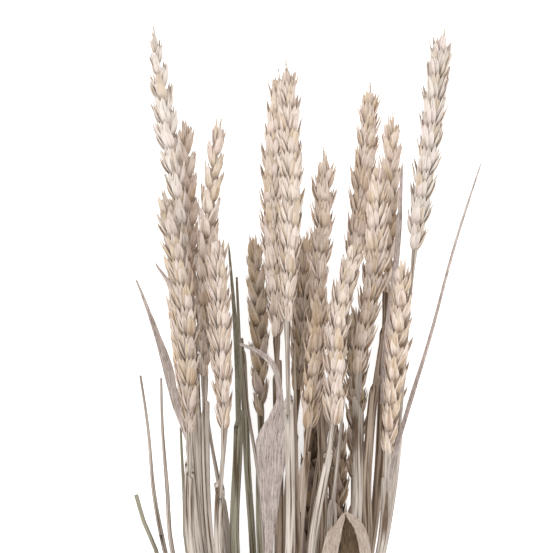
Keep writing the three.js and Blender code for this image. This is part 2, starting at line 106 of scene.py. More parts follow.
class Tone(Enum):
    """Colour families of the dried plant, where SHADED, DARK and part of BROWN are painted shade."""

    CHALKY = Colours((226, 216, 207), (178, 159, 142), 0.3, (118, 96, 77))
    PALE = Colours((228, 213, 200), (172, 147, 125), 0.3, (100, 76, 54))
    DUSTY = Colours((212, 197, 184), (150, 127, 107), 0.2, (88, 66, 46))
    WARM = Colours((234, 218, 204), (178, 152, 128), 0.3, (96, 72, 50))
    TAN = Colours((226, 206, 186), (166, 138, 113))
    # Painted shade: a deeper copy for ears that lie in the bunch's shade.
    SHADED = Colours((216, 199, 181), (126, 104, 82), 0.15, fade=1.0)
    # Painted shade: deep brown for an ear and straw under the bunch, and for the sheet inside a leaf's fold.
    DARK = Colours((130, 108, 84), (58, 44, 31), 0.04)
    STRAW = Colours((208, 197, 187), (120, 106, 93))
    # Darker straw for stems deep in the bunch: partly their own brown, partly painted shade.
    BROWN = Colours((178, 160, 143), (84, 68, 54))
    OLIVE = Colours((174, 168, 150), (98, 93, 75))
    LEAF = Colours((232, 218, 211), (130, 113, 103))
    TWINE = Colours((190, 154, 108), (126, 93, 56))


# Where the stalks lie


@dataclass(frozen=True)
class Stalk:
    """One stalk: its path across the bunch as [x, y] points, and how it looks."""

    name: str
    path: tuple[Pair, Pair, Pair, Pair]
    roll: Pair = (0.0, 0.0)
    lift: float = 0.0
    ear: Tone | None = Tone.PALE
    straw: Tone = Tone.STRAW
    awn: float = 0.0
    collar: float = 18.0
    sheath: float = 2.4
    tip: float = 0.6
    base: float = 0.62
    point: float = 0.5


LAYERS: tuple[tuple[Stalk, ...], ...] = (
    (
        Stalk("strand_left", ((-57, 228), (-62.3, 256), (-65.3, 289), (-69.2, 316)), ear=None, sheath=1.2),
        Stalk("stalk_under_left", ((-37, 228), (-46, 299), (-49, 348), (-52, 397)), (20, 0), ear=Tone.WARM),
        Stalk("stem_olive_dark", ((-12, 228), (-14.7, 268), (-16, 302), (-17.5, 335)),
              ear=None, straw=Tone.OLIVE, collar=-60, sheath=1.8),
        Stalk("stalk_under_middle", ((4.75, 228), (10.8, 308), (13.5, 350), (15, 388)), (10, 0),
              ear=Tone.SHADED, straw=Tone.BROWN),
        Stalk("stalk_low_dark", ((11.5, 165), (13.2, 214), (16.5, 255), (21, 296)), (75, 60),
              ear=Tone.DARK, straw=Tone.DARK),
        Stalk("stalk_under_right", ((46, 228), (55, 270), (60, 317), (64, 362)), (10, 25), ear=Tone.WARM),
    ),
    (
        Stalk("stub_left", ((-53, 195), (-61, 228), (-66.8, 241.5), (-71, 256)),
              ear=None, straw=Tone.OLIVE, tip=1.1),
        Stalk("stem_jointed", ((-52.7, 228), (-55.3, 260), (-57.6, 289), (-58.3, 315)), ear=None, sheath=1.2),
        Stalk("strand_thin", ((-45.3, 228), (-46.7, 255), (-47.9, 277), (-48.5, 290)),
              ear=None, straw=Tone.OLIVE, sheath=1),
        Stalk("stem_left_pale", ((-24.3, 228), (-29.3, 262), (-33.2, 284), (-36.2, 307)), ear=None, collar=5),
        Stalk("stalk_dark_left", ((-7.5, 228), (-8, 297), (-8.8, 340), (-11.5, 385)), (85, 95),
              ear=Tone.SHADED, straw=Tone.OLIVE),
        Stalk("stalk_behind_high", ((17, 228), (36, 354), (44.3, 420), (47.5, 462)), (45, 30),
              ear=Tone.WARM, straw=Tone.BROWN, awn=4, sheath=1.8),
        Stalk("stalk_low_middle", ((27.5, 180), (29.2, 222), (30.8, 257), (31.5, 290)), (60, 80),
              ear=Tone.SHADED, straw=Tone.BROWN),
    ),
    (
        Stalk("stalk_left_behind", ((-35.5, 228), (-42, 340), (-44, 392), (-46, 444)), (70, 85),
              ear=Tone.WARM),
        Stalk("stem_olive", ((-20.8, 228), (-19.3, 284), (-18.6, 327), (-20, 366)),
              ear=None, straw=Tone.OLIVE, collar=-10),
        Stalk("stem_pale_middle", ((-5.8, 228), (-9.3, 268), (-14, 297), (-16.5, 322)), ear=None, sheath=1.2),
        Stalk("stalk_tall_slender", ((1.25, 228), (0, 337), (-2, 410), (1, 468)), (-40, -30),
              straw=Tone.BROWN, awn=5),
        Stalk("stalk_middle_behind", ((22, 228), (21, 354), (23, 390), (24, 426)), (35, 50),
              ear=Tone.WARM, straw=Tone.BROWN, awn=8),
        Stalk("stalk_low_right", ((32, 180), (39.3, 266), (40, 308), (38.5, 350)), (40, 50),
              ear=Tone.SHADED, straw=Tone.BROWN),
        Stalk("stalk_right_behind", ((46.8, 228), (55, 359), (57, 402), (58, 445)), (75, 90),
              ear=Tone.WARM, straw=Tone.BROWN, awn=8),
    ),
    (
        Stalk("stalk_top_left", ((-38.5, 228), (-46.5, 382), (-54.8, 440), (-61.5, 489)), (45, 75),
              awn=12, point=0.3, ear=Tone.CHALKY),
        Stalk("stalk_left_middle", ((-33, 228), (-36, 317), (-35, 380), (-29, 443)), (60, 95), awn=9),
        Stalk("stalk_middle_low", ((10.5, 228), (16, 292), (20, 328), (23, 363)), (-40, -45),
              ear=Tone.TAN, straw=Tone.DUSTY, base=0.9),
        Stalk("stem_right_low", ((26.6, 228), (28.4, 255), (31.4, 283), (34, 309)), ear=None, collar=5),
        Stalk("stalk_right_middle", ((38.5, 228), (41.2, 319), (48.5, 367), (51, 423)), (-35, -20),
              ear=Tone.WARM, base=0.8, sheath=2.9),
        Stalk("stem_right", ((44.8, 228), (45, 262), (47.6, 300), (52.6, 338)),
              ear=None, straw=Tone.BROWN, collar=-50),
        Stalk("stalk_far_right", ((52.4, 228), (69.3, 381.5), (76.7, 434), (83, 488)), (-40, -15),
              collar=100, base=0.85, point=0.8, ear=Tone.CHALKY),
    ),
    (
        Stalk("stalk_left_front", ((-41.7, 228), (-43.2, 289), (-45.3, 350), (-56.5, 408)), (30, 45),
              lift=3, ear=Tone.DUSTY),
        Stalk("stalk_pink_front", ((-28.2, 228), (-26, 292), (-28, 340), (-30, 387)), (30, 15),
              lift=1, collar=32),
        Stalk("stalk_tall_front", ((6.5, 228), (5.3, 345), (7.2, 410), (5, 471)), (35, 20),
              lift=7, awn=8, collar=42),
        Stalk("stem_middle", ((10.8, 228), (10, 270), (9.3, 305), (9.2, 335)),
              lift=2, ear=None, straw=Tone.BROWN, sheath=1.5),
        Stalk("stalk_chalky_front", ((17.5, 228), (28.2, 295), (30.4, 345), (40, 384)), (40, 50),
              lift=4, base=0.95, sheath=2.2),
        Stalk("stalk_right_front", ((51.5, 228), (55.3, 279), (59, 325), (63, 373)), (75, 60), ear=Tone.WARM),
    ),
)


@dataclass(frozen=True)
class BunchSize:
    """How the bunch is drawn together in its tie and opens towards both ends."""

    tie_pitch: float = 3.5
    tie_floor: float = 3.9
    tie_bend: float = 15.0
    cut_length: float = 108.0
    cut_spread: float = 0.3
    cut_floor: float = 2.1
    cut_layer_pitch: float = 4.3
    ear_floor: float = 5.6
    ear_layer_pitch: float = 13.8
    fan_reach: float = 330.0

    def leaving(self, distance: float) -> float:
        """How far a stalk has left the tie, at a distance from it along the bunch."""
        return hypot(distance, self.tie_bend) - self.tie_bend

    def fanned(self, y: float) -> float:
        """How far a layer has risen from the tie to the height of the ears, from 0 to 1."""
        share = min(1.0, self.leaving(y) / self.leaving(self.fan_reach))
        return share * (2 - share)


BUNCH = BunchSize()


def lerp(low: float, high: float, share: float) -> float:
    """The value at a share of the way from low to high."""
    return low + (high - low) * share


def sides(way: Vector, turn: float) -> tuple[Vector, Vector]:
    """Two directions square to a way: the level one and the upper one, both turned about it."""
    level = way.cross(UP).normalized()
    upward = level.cross(way)
    c, s = cos(turn), sin(turn)
    return level * c + upward * s, upward * c - level * s


class StalkLine:
    """The centre line of a stalk, from its cut end through the tie to its tip."""

    def __init__(self, stalk: Stalk, layer: int, slot: int, slots: int) -> None:
        """Places the stalk: layers count from the floor up, and slots in a layer from the left."""
        self.path = stalk.path
        self.roll = stalk.roll
        self.lift = stalk.lift
        self.tie_x = (slot - (slots - 1) / 2) * BUNCH.tie_pitch
        self.tie_z = BUNCH.tie_floor + layer * BUNCH.tie_pitch
        self.cut_z = BUNCH.cut_floor + layer * BUNCH.cut_layer_pitch
        self.ear_z = BUNCH.ear_floor + layer * BUNCH.ear_layer_pitch
        self.slopes = [self._slope(i) for i in range(len(self.path))]

    def _slope(self, i: int) -> float:
        """Sideways slope of the line at one of its points."""
        if i == 0:
            x, y = self.path[0]
            return (x - self.tie_x) * y / hypot(y, BUNCH.tie_bend) / BUNCH.leaving(y)
        before = self.path[i - 1]
        after = self.path[min(len(self.path) - 1, i + 1)]
        return (after[0] - before[0]) / (after[1] - before[1])

    def _across(self, y: float) -> float:
        """Sideways place of the line."""
        low_x, low_y = self.path[0]
        if y <= 0:
            spread = BUNCH.cut_spread * BUNCH.leaving(y) / BUNCH.leaving(BUNCH.cut_length)
            return self.tie_x * (1 + spread)
        if y <= low_y:
            return lerp(self.tie_x, low_x, BUNCH.leaving(y) / BUNCH.leaving(low_y))
        i = 0
        while i < len(self.path) - 2 and y > self.path[i + 1][1]:
            i += 1
        (x_from, y_from), (x_to, y_to) = self.path[i], self.path[i + 1]
        span, rise = y_to - y_from, x_to - x_from
        t = (y - y_from) / span
        bend = (self.slopes[i] * span - rise) * (1 - t) + (rise - self.slopes[i + 1] * span) * t
        return x_from + rise * t + t * (1 - t) * bend

    def _height(self, y: float) -> float:
        """Height of the line above the floor."""
        if y <= 0:
            return lerp(self.tie_z, self.cut_z, BUNCH.leaving(y) / BUNCH.leaving(BUNCH.cut_length))
        fan = BUNCH.fanned(y)
        return self.tie_z + (self.ear_z - self.tie_z) * fan + self.lift * fan**2

    def at(self, y: float) -> Vector:
        """Point of the line at y."""
        return Vector((self._across(y), y, self._height(y)))

    def roll_at(self, y: float) -> float:
        """Turn of the rows about the line, in radians."""
        base, tip = self.path[1][1], self.path[3][1]
        return radians(lerp(*self.roll, (y - base) / (tip - base)))

    def directions(self, y: float) -> tuple[Vector, Vector, Vector]:
        """Directions at y: across the husk fans, along the stalk, and to the rows."""
        along = (self.at(y + 1) - self.at(y - 1)).normalized()
        broad, rows = sides(along, self.roll_at(y))
        return broad, along, rows


# Meshes


def skin(name: str, around: int, rings: int, place: Callable[[int, float], Placed]) -> Piece:
    """Shapes a round closed primitive into a long closed skin, with no cap to add.

    Place gives a ring number and an angle their point in millimetres and its mark. Ring 0 and
    the last ring are the two ends, which close to a point.
    """
    bpy.ops.object.select_all(action="DESELECT")
    bpy.ops.mesh.primitive_uv_sphere_add(segments=around, ring_count=rings, radius=1.0)
    obj = bpy.context.object
    obj.name = name
    marks: list[float] = []
    for vertex in obj.data.vertices:
        x, y, z = vertex.co
        ring = round(acos(max(-1.0, min(1.0, z))) / pi * rings)
        point, mark = place(ring, atan2(y, x) if 0 < ring < rings else 0.0)
        vertex.co = point * MM
        marks.extend(mark)
    set_marks(obj.data, marks)
    bpy.ops.object.mode_set(mode="EDIT")
    bpy.ops.mesh.select_all(action="SELECT")
    bpy.ops.mesh.normals_make_consistent(inside=False)
    bpy.ops.object.mode_set(mode="OBJECT")
    bpy.ops.object.shade_smooth()
    return obj


def set_marks(mesh: bpy.types.Mesh, marks: list[float]) -> None:
    """Stores three numbers for each point, which the finishes read."""
    mesh.attributes.new(MARK, "FLOAT_VECTOR", "POINT").data.foreach_set("vector", marks)


def linked(name: str, data: bpy.types.ID) -> Piece:
    """A new object in the scene that shows the data given."""
    obj = bpy.data.objects.new(name, data)
    bpy.context.collection.objects.link(obj)
    return obj


def joined(name: str, parts: list[Piece]) -> Piece:
    """Joins several pieces into one that takes the given name."""
    bpy.ops.object.select_all(action="DESELECT")
    for part in parts:
        part.select_set(True)
    bpy.context.view_layer.objects.active = parts[0]
    bpy.ops.object.join()
    parts[0].name = name
    return parts[0]


def above_floor(point: Vector) -> Vector:
    """Keeps a point from reaching below the floor."""
    point.z = max(point.z, FLOOR_GAP)
    return point


# Finishes


class Shader:
    """A small builder of shader nodes for one material."""

    SHINE = 0.2

    def __init__(self, name: str) -> None:
        """Starts a material with a surface shader and its output."""
        self.material = bpy.data.materials.new(name)
        self.material.use_nodes = True
        self.tree = self.material.node_tree
        self.surface = self.tree.nodes["Principled BSDF"]

    def feed(self, node: bpy.types.Node, inputs: Inputs) -> None:
        """Links outputs to a node's inputs, or sets constants on them."""
        for key, value in inputs.items():
            if isinstance(value, Socket):
                self.tree.links.new(value, node.inputs[key])
            else:
                node.inputs[key].default_value = value

    def node(self, kind: str, inputs: Inputs, **settings: object) -> bpy.types.Node:
        """Adds a node, sets its properties and feeds its inputs."""
        made = self.tree.nodes.new(kind)
        for key, value in settings.items():
            setattr(made, key, value)
        self.feed(made, inputs)
        return made

    def sum(self, operation: str, *values: object) -> Socket:
        """Adds a math node over the values given."""
        return self.node("ShaderNodeMath", dict(enumerate(values)), operation=operation).outputs[0]

    def added(self, value: object, *terms: tuple[object, float]) -> Socket:
        """Adds terms to a value in turn, each times its factor."""
        for term, factor in terms:
            value = self.sum("MULTIPLY_ADD", term, factor, value)
        return value

    def wave(self, value: Socket, rate: float) -> Socket:
        """A sine of a value times a rate."""
        return self.sum("SINE", self.sum("MULTIPLY", value, rate))

    def clamped(self, value: Socket, low: float, high: float) -> Socket:
        """Maps a stretch of values onto 0 to 1."""
        inputs = {"Value": value, "From Min": low, "From Max": high}
        return self.node("ShaderNodeMapRange", inputs).outputs["Result"]

    def mix(self, share: Socket, low: Socket | Rgb, high: Socket | Rgb) -> Socket:
        """Mixes two colours by a share."""
        low, high = (linear(colour) if isinstance(colour, tuple) else colour for colour in (low, high))
        inputs = {0: share, 6: low, 7: high}
        return self.node("ShaderNodeMix", inputs, data_type="RGBA", clamp_factor=True).outputs[2]

    def tinted(self, colour: Socket, *tints: tuple[Socket, float, Rgb]) -> Socket:
        """Mixes tints into a colour in turn: each has its share, its strength and its colour."""
        for share, strength, tint in tints:
            colour = self.mix(self.sum("MULTIPLY", share, strength), colour, tint)
        return colour

    def noise(self, vector: Socket, scale: float, detail: float = 2.0) -> Socket:
        """Adds a noise of the scale given."""
        inputs = {"Vector": vector, "Scale": scale, "Detail": detail}
        return self.node("ShaderNodeTexNoise", inputs).outputs["Fac"]

    def streaks(self, vector: Socket, scale: Triple, detail: float = 2.0) -> Socket:
        """Adds a noise with a scale for each axis."""
        made = self.node("ShaderNodeVectorMath", {0: vector, 1: scale}, operation="MULTIPLY")
        return self.noise(made.outputs[0], 1.0, detail)

    def split(self, vector: Socket) -> list[Socket]:
        """The three numbers of a vector."""
        return list(self.node("ShaderNodeSeparateXYZ", {0: vector}).outputs)

    def mark(self) -> tuple[Socket, list[Socket]]:
        """The stored mark, whole and as its three numbers."""
        vector = self.node("ShaderNodeAttribute", {}, attribute_name=MARK).outputs["Vector"]
        return vector, self.split(vector)

    def place(self) -> Socket:
        """Place of the point in the piece's own frame."""
        return self.node("ShaderNodeTexCoord", {}).outputs["Object"]

    def bump(self, height: Socket, distance: float) -> None:
        """Raises the surface by a height of the distance given, in metres."""
        made = self.node("ShaderNodeBump", {"Distance": distance, "Height": height})
        self.feed(self.surface, {"Normal": made.outputs["Normal"]})

    def finished(self, colour: Socket, roughness: float) -> Material:
        """Ends the material with its colour and roughness, and a weak shine."""
        looks = {"Base Color": colour, "Roughness": roughness, "Specular IOR Level": self.SHINE}
        self.feed(self.surface, looks)
        return self.material


class Finishes:
    """The bunch's materials, each made once for a colour family."""

    TAN_TINT = (196, 170, 134)
    ROSY_TINT = (224, 205, 199)
    AWN_GREY = (132, 120, 108)
    # Painted shade: the stretch along the bunch over which an ear's lower part is deepened.
    LOWER_SHADE_STRETCH = (0.30, 0.41)
    FADE_MIDDLE = 0.6
    HUSK_VEINS = 16.0
    HUSK_GRAIN = (1400, 420, 1400)
    HUSK_STREAK = (2.2, 0.9, 60.0)
    HUSK_LOTS = 7.3
    STRAW_STREAK = (7.0, 2.5, 0.0)
    STRAW_FIBRE = (24.0, 7.0, 0.0)
    STRAW_SPECK = (22.0, 160.0, 0.0)
    LEAF_LINES = 60.0
    LEAF_VEIN = (10.0, 5.0, 0.0)
    LEAF_GRAIN = (900, 260, 900)
    TWINE_FIBRE = (14.0, 220.0, 0.0)

    def __init__(self) -> None:
        """Starts with none made."""
        self.made: dict[tuple[str, Tone], Material] = {}

    def get(self, kind: str, tone: Tone) -> Material:
        """The material of a kind (husk, straw, leaf or twine) in a colour family."""
        if (kind, tone) not in self.made:
            self.made[kind, tone] = getattr(self, f"_{kind}")(tone)
        return self.made[kind, tone]

    def _husk(self, tone: Tone) -> Material:
        """Papery husk: veined, with pale margins and a chalky bloom.

        Painted shade darkens its foot, its creases and the lower part of the ear.
        """
        look, s = tone.value, Shader(f"husk_{tone.name.lower()}")
        mark, (across, along, husk) = s.mark()
        place = s.place()
        grain = s.streaks(place, self.HUSK_GRAIN, 3.0)
        streak = s.streaks(mark, self.HUSK_STREAK)
        vein = s.wave(across, self.HUSK_VEINS)
        edge = s.sum("POWER", s.sum("ABSOLUTE", across), 2.5)
        # Painted shade: each husk is deeper at its foot, and the ear deeper lower down, where the bunch
        # shades it.
        height = s.sum("SUBTRACT", s.clamped(s.split(place)[1], *self.LOWER_SHADE_STRETCH), self.FADE_MIDDLE)
        share = s.added(
            s.sum("MULTIPLY_ADD", along, 0.4, -0.76),
            (edge, 0.6), (height, look.fade), (husk, 0.56), (s.noise(place, 130), 0.5),
            (grain, 0.6), (s.clamped(streak, 0.36, 0.62), 0.55), (vein, 0.12),
        )
        lot = s.sum("FRACT", s.sum("MULTIPLY", husk, self.HUSK_LOTS))
        # Painted shade in the speck colour: dark streaks for creases, and a deeper foot where husks overlap.
        crease_shade, foot = s.clamped(streak, 0.42, 0.34), s.clamped(along, 0.45, 0.0)
        bristle, fleck = s.clamped(along, 0.94, 0.965), s.clamped(grain, 0.7, 0.8)
        tan, rosy = s.clamped(lot, 0.62, 0.85), s.clamped(lot, 0.3, 0.1)
        bloom = s.clamped(s.noise(place, 65, 3.0), 0.5, 0.75)
        colour = s.tinted(
            s.mix(share, look.deep, look.pale),
            (crease_shade, 0.5, look.speck_and_shade), (foot, 0.35, look.speck_and_shade), (edge, 0.55, look.pale),
            (bristle, 0.65, self.AWN_GREY), (tan, 0.45, self.TAN_TINT), (rosy, 0.4, self.ROSY_TINT),
            (bloom, look.bloom, Tone.CHALKY.value.pale), (fleck, 0.4, look.speck_and_shade),
        )
        s.bump(s.added(grain, (streak, 3.0), (vein, 0.08)), 0.00022)
        return s.finished(colour, 0.85)

    def _straw(self, tone: Tone) -> Material:
        """Straw: streaked lengthwise, with brown specks, darker joints and painted shade in its hollow end.
        """
        look, s = tone.value, Shader(f"straw_{tone.name.lower()}")
        mark, (_, _, joint) = s.mark()
        streak = s.streaks(mark, self.STRAW_STREAK, 3.0)
        fine = s.streaks(mark, self.STRAW_FIBRE)
        share = s.added(s.clamped(streak, 0.38, 0.6), (fine, 1.0))
        # The stored darkness holds the darker joints and neck, and painted shade inside the hollow cut end.
        share = s.added(s.sum("SUBTRACT", share, 0.5), (joint, -1.2))
        groove = s.clamped(streak, 0.45, 0.38)
        fleck = s.clamped(s.streaks(mark, self.STRAW_SPECK), 0.66, 0.76)
        base = s.mix(share, look.deep, look.pale)
        colour = s.tinted(base, (groove, 0.75, look.speck_and_shade), (fleck, 0.5, look.speck_and_shade))
        s.bump(fine, 0.0002)
        return s.finished(colour, 0.7)

    def _leaf(self, tone: Tone) -> Material:
        """Dry leaf: fine lengthwise veins over soft patches."""
        look, s = tone.value, Shader(f"leaf_{tone.name.lower()}")
        mark, (across, _, _) = s.mark()
        veins = s.streaks(mark, self.LEAF_VEIN, 3.0)
        line = s.wave(across, self.LEAF_LINES)
        patch = s.sum("MULTIPLY", s.noise(s.place(), 60, 3.0), 0.6)
        grain = s.streaks(s.place(), self.LEAF_GRAIN, 3.0)
        share = s.sum("SUBTRACT", s.added(patch, (s.clamped(veins, 0.32, 0.68), 0.8)), 0.85)
        share = s.added(share, (grain, 1.5), (line, 0.12))
        base = s.mix(share, look.deep, look.pale)
        colour = s.tinted(base, (s.clamped(grain, 0.6, 0.72), 0.5, look.speck_and_shade))
        s.bump(s.added(veins, (line, 0.5)), 0.0002)
        return s.finished(colour, 0.75)

    def _twine(self, tone: Tone) -> Material:
        """Twine: rough fibres that run along its strands."""
        s = Shader("twine")
        mark, _ = s.mark()
        fibres = s.streaks(mark, self.TWINE_FIBRE, 4.0)
        s.bump(fibres, 0.0004)
        return s.finished(s.mix(s.clamped(fibres, 0.3, 0.7), tone.value.deep, tone.value.pale), 0.95)


# Stems


@dataclass(frozen=True)
class StemSize:
    """Driving sizes of a stem."""

    radius_at_tie: float = 1.5
    radius_at_ear: float = 1.15
    radius_at_cut: float = 1.6
    sheath_start: float = 200.0
    joint_place: float = 110.0
    collar_slant: float = 5.0
    hollow_radius: float = 0.9
    hollow_depth: float = 7.0
    joint_swell: float = 0.22
    joint_length: float = 2.2
    neck_swell: float = 0.8
    neck_length: float = 9.0
    joint_dark: float = 0.8
    neck_dark: float = 0.25
    # Painted shade inside the hollow cut end.
    hollow_dark: float = 0.9
    ridge: float = 0.035
    ridges: int = 5
    ear_end: float = 0.6
    collar_gap: float = 4.0
    ear_gap: float = 9.0
    low_joint: float = -70.0
    low_joint_play: Pair = (-20, 20)
    joint_play: Pair = (-25, 15)
    high_joint_from: float = 250.0
    high_joint_play: Pair = (120, 150)
    station: float = 7.0
    station_gap: float = 1.5
    around: int = 14


class Stem:
    """A straw with its leaf sheath, its joints and its hollow cut end."""

    def __init__(self, stalk: Stalk, line: StalkLine, size: StemSize) -> None:
        """Takes the stalk that the stem belongs to, its line and the driving sizes."""
        self.stalk = stalk
        self.line = line
        self.size = size
        self.rng = random.Random(f"{SEED} stem {stalk.name}")
        base, tip = stalk.path[1][1], stalk.path[3][1]
        self.collar = min(base - stalk.collar, tip - size.collar_gap)
        self.end = tip - size.ear_gap if stalk.ear else tip
        self.joints = [
            size.low_joint + self.rng.uniform(*size.low_joint_play),
            size.joint_place + self.rng.uniform(*size.joint_play),
        ]
        if self.collar > size.high_joint_from:
            self.joints.append(self.collar - self.rng.uniform(*size.high_joint_play))
        self.offset = self.rng.uniform(0, 50)

    def radius(self, y: float) -> float:
        """Radius of the stem at y, with no joint."""
        size = self.size
        if y <= 0:
            return lerp(size.radius_at_tie, size.radius_at_cut, y / -BUNCH.cut_length)
        if y <= self.collar:
            return lerp(size.radius_at_tie, self.stalk.sheath, min(1.0, y / size.sheath_start))
        end = size.ear_end if self.stalk.ear else self.stalk.tip
        start = min(self.stalk.sheath, size.radius_at_ear)
        return lerp(start, end, (y - self.collar) / (self.end - self.collar))

    def jointed(self, y: float) -> float:
        """How much of a joint there is at y, from 0 to 1."""
        return max(exp(-(((y - j) / self.size.joint_length) ** 2)) for j in self.joints)

    def neck(self, y: float) -> float:
        """How much of the ear's neck there is at y, from 0 to 1."""
        if self.stalk.ear is None:
            return 0.0
        return exp(-(((y - self.stalk.path[1][1]) / self.size.neck_length) ** 2))

    def swollen(self, y: float) -> float:
        """Radius of the stem at y, with its joints and its neck."""
        swell = self.size.joint_swell * self.jointed(y) + self.size.neck_swell * self.neck(y)
        return self.radius(y) * (1 + swell)

    def stations(self) -> list[Pair]:
        """Distance and radius of every ring, from inside the cut end to the tip."""
        size, cut = self.size, -BUNCH.cut_length
        inside = [(cut + size.hollow_depth, size.hollow_radius), (cut, size.hollow_radius)]
        places = {cut, self.collar - 0.6, self.collar, self.collar + 0.5, self.end}
        places = {place for place in places if place <= self.end}
        for joint in self.joints:
            places.update(joint + step for step in (-4, -2, 0, 2, 4))
        y = cut + size.station
        while y < self.end:
            if min(abs(y - place) for place in places) > size.station_gap:
                places.add(y)
            y += size.station
        return inside + [(y, self.swollen(y)) for y in sorted(places)]

    def build(self) -> Piece:
        """Models the stem as one closed skin."""
        size, stations = self.size, self.stations()
        last = len(stations) + 1
        slant = self.rng.uniform(0, tau)

        def place(ring: int, angle: float) -> Placed:
            y, radius = stations[min(max(ring - 1, 0), len(stations) - 1)]
            dark = self.jointed(y) * size.joint_dark + self.neck(y) * size.neck_dark
            if ring in (0, last):
                radius = 0.0
            # Painted shade inside the hollow cut end.
            elif ring <= 2:
                dark = size.hollow_dark
            ridge = 1 + size.ridge * cos(angle * size.ridges + slant)
            if abs(y - self.collar) < 1:
                y += size.collar_slant * cos(angle - slant)
            broad, _, rows = self.line.directions(y)
            out = broad * cos(angle) + rows * sin(angle)
            point = self.line.at(y) + out * radius * ridge
            return above_floor(point), (abs(angle) / pi, y / 100 + self.offset, dark)

        return skin(f"{self.stalk.name}_stem", size.around, last, place)


# Ears


@dataclass(frozen=True)
class HuskSeat:
    """How one husk sits in its spikelet: points are [up, across, out] from the seat."""

    foot: Triple
    tip: Triple
    width: float
    keel: Pair
    point: Pair = (0.3, 1.6)
    at_point: bool = False
    awned: bool = False


@dataclass(frozen=True)
class EarSize:
    """Driving sizes of an ear."""

    pitch: float = 11.6
    point: float = 9.0
    usual_point: float = 0.5
    swell_fullness: float = 0.7
    last_size: float = 0.9
    last_lean: float = -0.3
    last_sunk: float = 1.0
    slimness: float = 0.45
    jitter: float = 0.7
    opening: float = 0.05
    awn_root: float = 1.0
    side_awn: Pair = (0.25, 0.5)
    keel_play: float = 0.15
    width_play: Pair = (0.9, 1.1)
    size_play: Pair = (0.93, 1.05)
    turn_play: float = 0.12
    sway: float = 0.06
    crisp_angle: float = 0.3
    seats: tuple[HuskSeat, ...] = (
        HuskSeat((-2.4, 1.7, 0.0), (9.2, 4.8, 2.8), 4.8, (0.92, 0.4), (0.1, 0.6), at_point=True),
        HuskSeat((-1.4, 1.3, 0.6), (12.8, 6.2, 3.2), 3.6, (0.75, 0.65)),
        HuskSeat((-2.0, 0.7, 0.9), (9.6, 2.8, 4.4), 3.2, (0.45, 0.9), (0.1, 0.6), at_point=True),
        HuskSeat((0.4, 0.6, 1.0), (13.8, 4.2, 4.4), 2.8, (0.5, 0.87)),
        HuskSeat((1.4, 0.3, 1.4), (14.4, 1.7, 4.9), 2.4, (0.25, 0.97), at_point=True, awned=True),
        HuskSeat((1.8, 0.0, 1.0), (12.8, 0.0, 5.4), 2.4, (0.0, 1.0), at_point=True, awned=True),
        HuskSeat((0.0, 0.8, -0.2), (10.6, 3.6, 1.4), 3.8, (0.7, -0.4), (0.0, 0.3)),
    )


class Form:
    """A small shape of unit length, modelled once and then copied into the ears."""

    AROUND: int
    ALONG: tuple[float, ...]
    WIDTH: tuple[float, ...]

    def __init__(self) -> None:
        """Models the shape and keeps its points, marks and faces."""
        obj = skin("form", self.AROUND, len(self.ALONG) - 1, self._place)
        mesh = obj.data
        values = [0.0] * (3 * len(mesh.vertices))
        mesh.attributes[MARK].data.foreach_get("vector", values)
        self.points = [vertex.co / MM for vertex in mesh.vertices]
        self.marks = [tuple(values[i : i + 3]) for i in range(0, len(values), 3)]
        self.faces = [tuple(polygon.vertices) for polygon in mesh.polygons]
        bpy.data.objects.remove(obj)
        bpy.data.meshes.remove(mesh)

    def _place(self, ring: int, angle: float) -> Placed:
        """Point of the shape's skin: x is across, y along and z outwards."""
        raise NotImplementedError


class HuskForm(Form):
    """One husk: a keeled boat of unit half width."""

    AROUND = 8
    ALONG = (0.0, 0.05, 0.17, 0.34, 0.52, 0.69, 0.83, 0.94, 1.0)
    WIDTH = (0.0, 0.5, 0.82, 0.98, 1.0, 0.92, 0.7, 0.27, 0.0)

    def _place(self, ring: int, angle: float) -> Placed:
        """Point of the boat, whose keel is outwards."""
        along, width = self.ALONG[ring], self.WIDTH[ring]
        side, rise = cos(angle), sin(angle)
        bow = 0.42 * sin(pi * along)
        depth = width * (0.28 * rise**1.8 if rise > 0 else 0.16 * rise)
        return Vector((side * width, along, bow + depth)), (side, along, 0.0)


class AwnForm(Form):
    """One awn: a slim bristle that tapers and bends a little."""

    AROUND = 5
    ALONG = (0.0, 0.02, 0.35, 0.7, 0.98, 1.0)
    WIDTH = (0.0, 0.24, 0.19, 0.14, 0.09, 0.0)
    BEND = 0.8

    def _place(self, ring: int, angle: float) -> Placed:
        """Point of the bristle, in millimetres but for its unit length."""
        along, width = self.ALONG[ring], self.WIDTH[ring]
        bend = self.BEND * along**2
        return Vector((cos(angle) * width + bend, along, sin(angle) * width)), (0.0, 1.0, 0.0)


